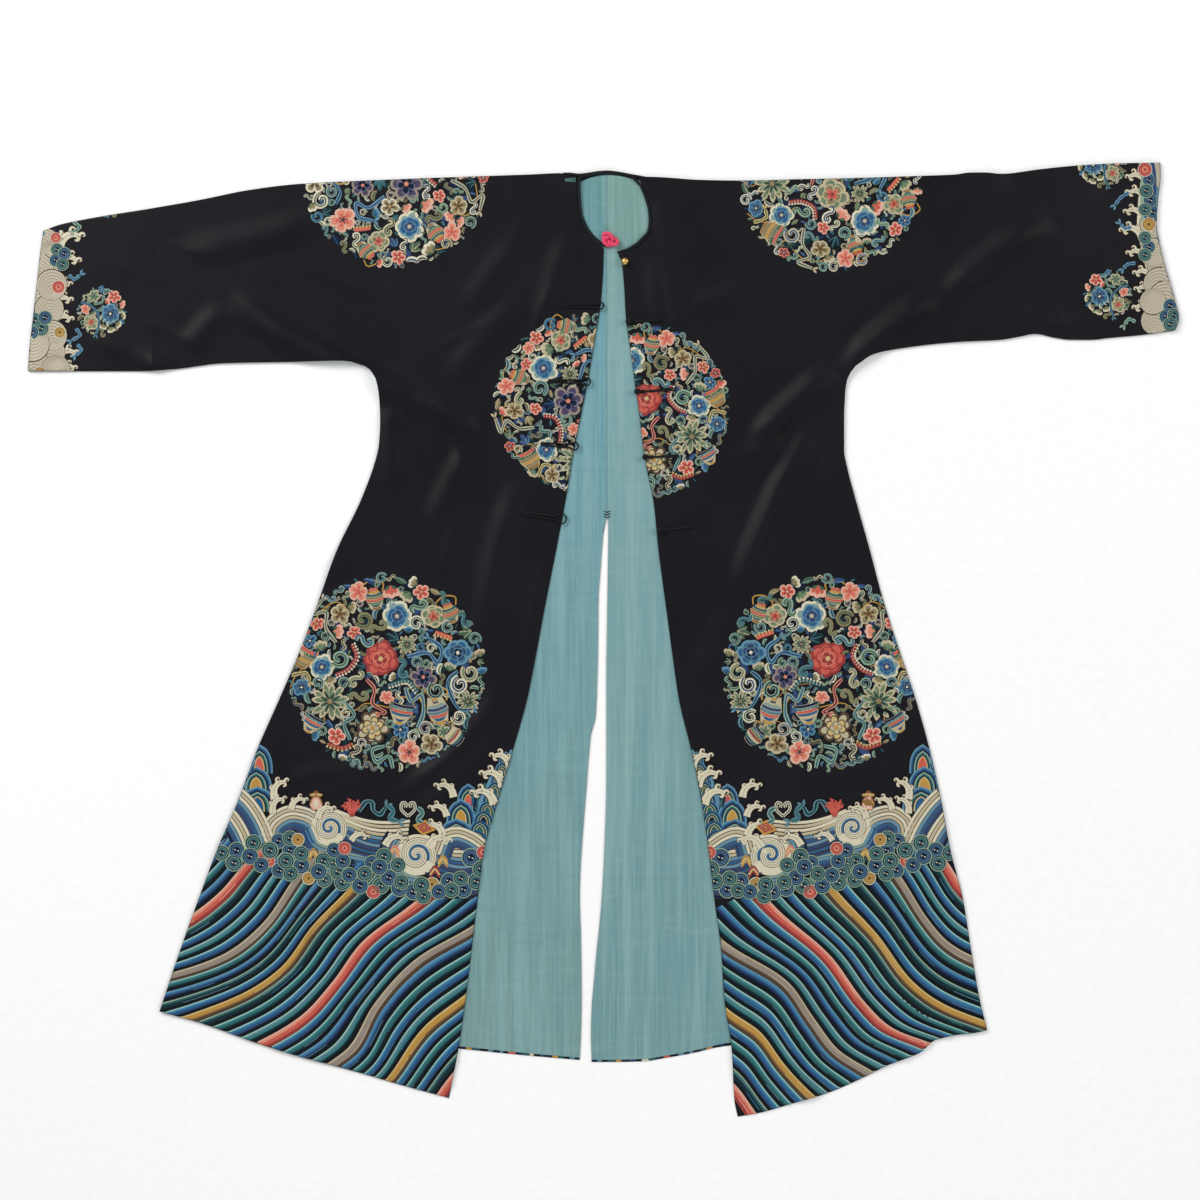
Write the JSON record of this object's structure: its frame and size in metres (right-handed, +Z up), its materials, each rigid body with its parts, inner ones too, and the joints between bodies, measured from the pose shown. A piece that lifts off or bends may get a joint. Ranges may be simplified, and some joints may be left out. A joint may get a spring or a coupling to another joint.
{
  "type": "embroidered silk surcoat laid flat",
  "caption": "Long front-opening silk coat with straight sleeves, roundels and a wave-and-stripe hem, laid flat with its fronts spread and its blue lining showing.",
  "frame": {"origin": "middle of the plan, on the surface that the surcoat lies on", "axes": "+X towards the wearer's left along the sleeves, +Y from the hem to the neck, +Z up out of the cloth"},
  "size_m": [1.7242, 1.431, 0.0164],
  "materials": {
    "black_satin": "soft satin with polychrome silk embroidery",
    "blue_lining": "slubbed matt silk",
    "black_binding": "matt rolled binding",
    "black_cord": "matt cord",
    "gilt_ball": "worn gilt",
    "pink_cord": "silk cord"
  },
  "bodies": {
    "root": {"back_right": "black_satin", "back_left": "black_satin", "lining_right": "blue_lining", "lining_left": "blue_lining", "front_right": "black_satin", "front_left": "black_satin", "sleeve_end_right": "black_satin", "sleeve_end_left": "black_satin", "neck_binding_right": "black_binding", "neck_binding_left": "black_binding", "neck_binding_back": "black_binding", "loop_1": "black_cord", "loop_2": "black_cord", "loop_3": "black_cord", "loop_4": "black_cord", "button_cord_1": "black_cord", "button_cord_2": "black_cord", "button_cord_3": "black_cord", "button_cord_4": "black_cord", "knot_button_1": "black_cord", "knot_button_2": "black_cord", "knot_button_3": "black_cord", "knot_button_4": "black_cord", "neck_ball": "gilt_ball", "neck_ball_cord": "black_cord", "neck_knot": "pink_cord"}
  },
  "joints": []
}
